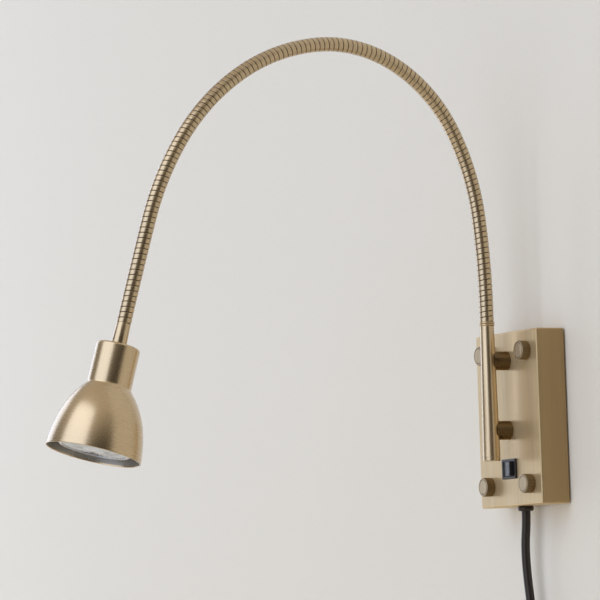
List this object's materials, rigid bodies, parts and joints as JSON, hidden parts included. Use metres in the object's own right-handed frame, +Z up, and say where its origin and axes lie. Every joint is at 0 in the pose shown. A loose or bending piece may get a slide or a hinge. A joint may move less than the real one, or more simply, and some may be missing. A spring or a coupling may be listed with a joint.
{
  "type": "wall reading lamp",
  "caption": "Wall reading lamp: shallow brushed box with rocker switch, tapered tube on two standoffs, flexible neck and bell shade, with a corded plug.",
  "frame": {"origin": "centre of the mounting plate's back, on the wall", "axes": "+Z up, +X right seen from the room, -Y out of the wall into the room"},
  "size_m": [0.1296, 0.3821, 0.5892],
  "materials": {
    "brass": "vertically brushed, satin",
    "dark_bronze": "dark bronze, satin",
    "zinc_steel": "zinc plated",
    "black_plastic": "black, satin",
    "black_rubber": "black PVC, satin",
    "wire_sheath": "smooth",
    "ceramic": "white ceramic, glazed",
    "cream_plastic": "moulded",
    "lamp_glass": "frosted, grey-silver",
    "lamp_body": "satin white-grey",
    "plug_brass": "polished"
  },
  "bodies": {
    "wall_unit": {"mounting_plate": "zinc_steel", "plate_studs": "zinc_steel", "stud_spacers": "zinc_steel", "earth_screw": "zinc_steel", "cover_box": "brass", "thumb_nut_top_left": "brass", "thumb_nut_top_right": "brass", "thumb_nut_bottom_left": "brass", "thumb_nut_bottom_right": "brass", "standoff_upper": "dark_bronze", "standoff_lower": "dark_bronze", "standoff_nipples": "zinc_steel", "standoff_nuts": "zinc_steel", "arm_tube": "brass", "tube_end_cap": "brass", "neck_collar": "brass", "neck_section_1": "brass", "lead_section_1": "wire_sheath", "switch_housing": "black_plastic", "switch_terminals": "zinc_steel", "terminal_block": "cream_plastic", "terminal_screws": "zinc_steel", "supply_cord": "black_rubber", "supply_leads": "wire_sheath", "arm_lead": "wire_sheath", "cord_grip": "black_rubber", "cord_drop": "black_rubber", "cord_coil": "black_rubber", "cord_tail": "black_rubber", "cord_tie": "black_rubber", "plug_body": "black_plastic", "plug_pins": "plug_brass", "plug_fuse_cover": "black_plastic", "plug_sleeve": "black_rubber"},
    "neck_2": {"neck_section_2": "brass", "lead_section_2": "wire_sheath"},
    "neck_3": {"neck_section_3": "brass", "lead_section_3": "wire_sheath"},
    "neck_4": {"neck_section_4": "brass", "lead_section_4": "wire_sheath"},
    "neck_5": {"neck_section_5": "brass", "lead_section_5": "wire_sheath"},
    "neck_6": {"neck_section_6": "brass", "lead_section_6": "wire_sheath"},
    "neck_7": {"neck_section_7": "brass", "lead_section_7": "wire_sheath"},
    "head": {"neck_section_8": "brass", "lead_section_8": "wire_sheath", "head_ferrule": "brass", "head_nipple": "zinc_steel", "head_nut": "zinc_steel", "shade": "brass", "holder_bracket": "zinc_steel", "lampholder": "ceramic", "holder_screws": "zinc_steel"},
    "bulb": {"bulb_body": "lamp_body", "bulb_lens": "lamp_glass", "bulb_pins": "zinc_steel"},
    "rocker": {"switch_rocker": "black_plastic"}
  },
  "joints": [
    {"name": "neck_bend_1", "type": "hinge", "parent": "wall_unit", "child": "neck_2", "pos_m": [0, -0.04219, 0.14536], "axis": [1, 0, 0], "range_deg": [-12, 10], "deforming": ["neck_section_1", "lead_section_1", "neck_section_2", "lead_section_2"]},
    {"name": "neck_swing_2", "type": "hinge", "parent": "neck_2", "child": "neck_3", "pos_m": [0, -0.06112, 0.20727], "axis": [0, 0.887, 0.4617], "range_deg": [-8, 8], "deforming": ["neck_section_3", "lead_section_3"]},
    {"name": "neck_bend_3", "type": "hinge", "parent": "neck_3", "child": "neck_4", "pos_m": [0, -0.10572, 0.25345], "axis": [1, 0, 0], "range_deg": [-12, 10], "deforming": ["neck_section_4", "lead_section_4"]},
    {"name": "neck_swing_4", "type": "hinge", "parent": "neck_4", "child": "neck_5", "pos_m": [0, -0.16849, 0.26594], "axis": [0, -0.1219, 0.9925], "range_deg": [-18, 18], "deforming": ["neck_section_5", "lead_section_5"]},
    {"name": "neck_bend_5", "type": "hinge", "parent": "neck_5", "child": "neck_6", "pos_m": [0, -0.22902, 0.24361], "axis": [1, 0, 0], "range_deg": [-12, 10], "deforming": ["neck_section_6", "lead_section_6"]},
    {"name": "neck_swing_6", "type": "hinge", "parent": "neck_6", "child": "neck_7", "pos_m": [0, -0.27496, 0.19807], "axis": [0, -0.829, 0.5592], "range_deg": [-18, 18], "deforming": ["neck_section_7", "lead_section_7"]},
    {"name": "neck_bend_7", "type": "hinge", "parent": "neck_7", "child": "head", "pos_m": [0, -0.30288, 0.13953], "axis": [1, 0, 0], "range_deg": [-12, 10], "deforming": ["neck_section_8", "lead_section_8"]},
    {"name": "bulb_twist", "type": "hinge", "parent": "head", "child": "bulb", "pos_m": [0, -0.33634, 0.02491], "axis": [0, -0.2756, -0.9613], "range_deg": [0, 20]},
    {"name": "rocker_tilt", "type": "hinge", "parent": "wall_unit", "child": "rocker", "pos_m": [0, -0.0226, -0.0358], "axis": [0, 0, 1], "range_deg": [0, 20]}
  ],
  "couplings": [
    {"joint": "neck_bend_3", "follows": "neck_bend_1", "ratio": 1},
    {"joint": "neck_bend_5", "follows": "neck_bend_1", "ratio": 1},
    {"joint": "neck_bend_7", "follows": "neck_bend_1", "ratio": 1},
    {"joint": "neck_swing_2", "follows": "neck_swing_4", "ratio": -0.4},
    {"joint": "neck_swing_6", "follows": "neck_swing_4", "ratio": 1}
  ]
}
